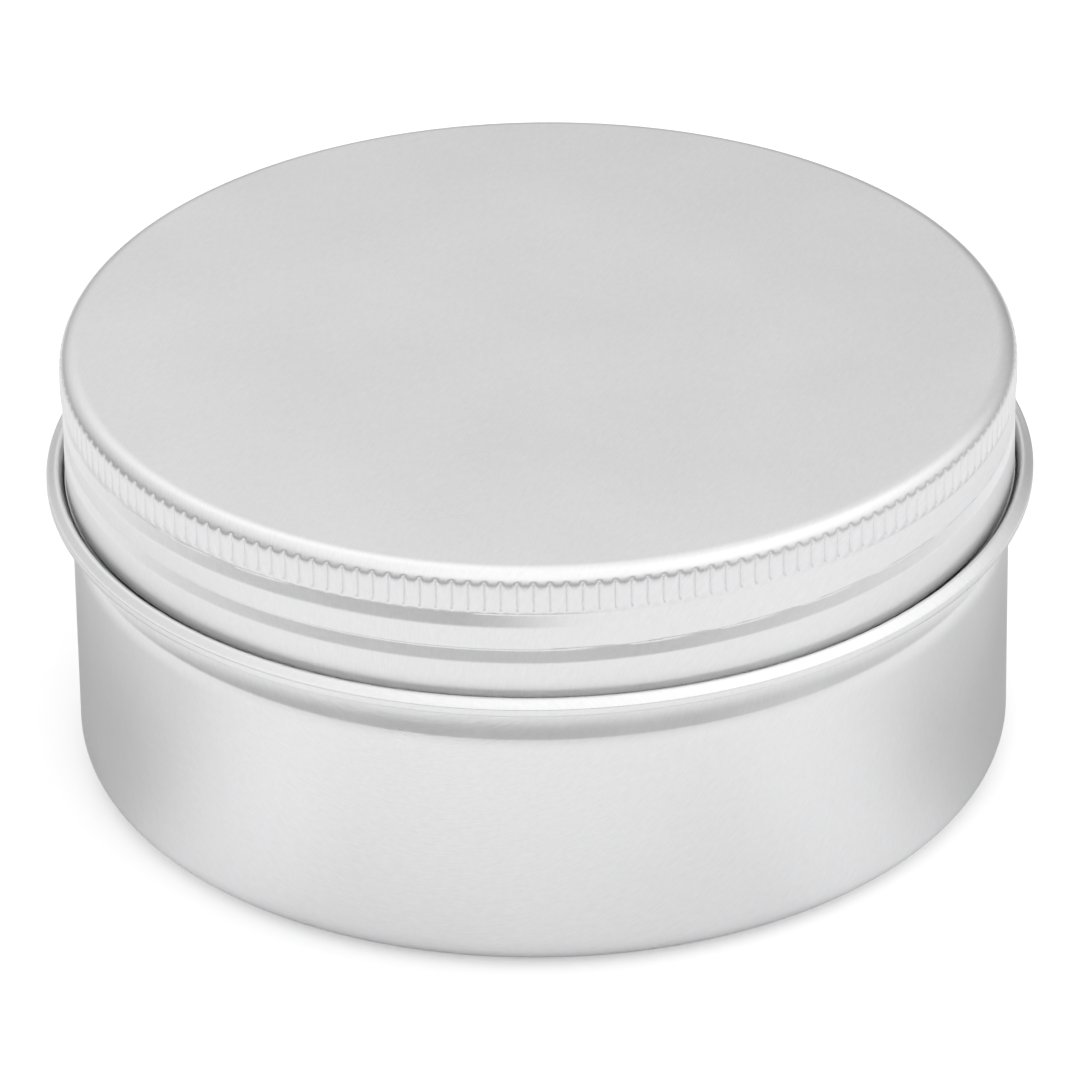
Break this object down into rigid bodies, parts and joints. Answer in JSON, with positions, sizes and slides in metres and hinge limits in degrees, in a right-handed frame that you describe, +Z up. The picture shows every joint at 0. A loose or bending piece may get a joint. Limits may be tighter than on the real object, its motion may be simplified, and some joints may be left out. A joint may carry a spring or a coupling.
{
  "type": "screw-top candle tin",
  "caption": "Round shallow aluminium tin with a knurled screw lid, foam liner and a poured wax candle with a wick inside.",
  "frame": {"origin": "centre of the base, on the plane that the tin stands on", "axes": "+Z up through the lid, the tin's axis of revolution; -Y faces the viewer"},
  "size_m": [0.1, 0.1, 0.0455],
  "materials": {
    "tin_body": "bare drawn aluminium, satin with a fine grain",
    "lid_shell": "bare drawn aluminium, satin with a fine grain",
    "lid_liner": "white expanded foam, matt",
    "wax_fill": "smooth cream soy wax",
    "wick": "waxed cotton braid",
    "wick_sustainer": "bright tinplate",
    "wick_sticker": "white adhesive foam"
  },
  "bodies": {
    "tin": {"tin_body": "tin_body", "wax_fill": "wax_fill", "wick": "wick", "wick_sustainer": "wick_sustainer", "wick_sticker": "wick_sticker"},
    "liner": {"lid_liner": "lid_liner"},
    "lid": {"lid_shell": "lid_shell"}
  },
  "joints": [
    {"name": "lid_lift", "type": "slide", "parent": "tin", "child": "liner", "axis": [0, 0, 1], "range_m": [0, 0.0388]},
    {"name": "lid_turn", "type": "hinge", "parent": "liner", "child": "lid", "pos_m": [0, 0, 0.0455], "axis": [0, 0, 1], "range_deg": [0, 3240]}
  ],
  "couplings": [
    {"joint": "lid_lift", "follows": "lid_turn", "m_per_rad": 0.00068437}
  ]
}
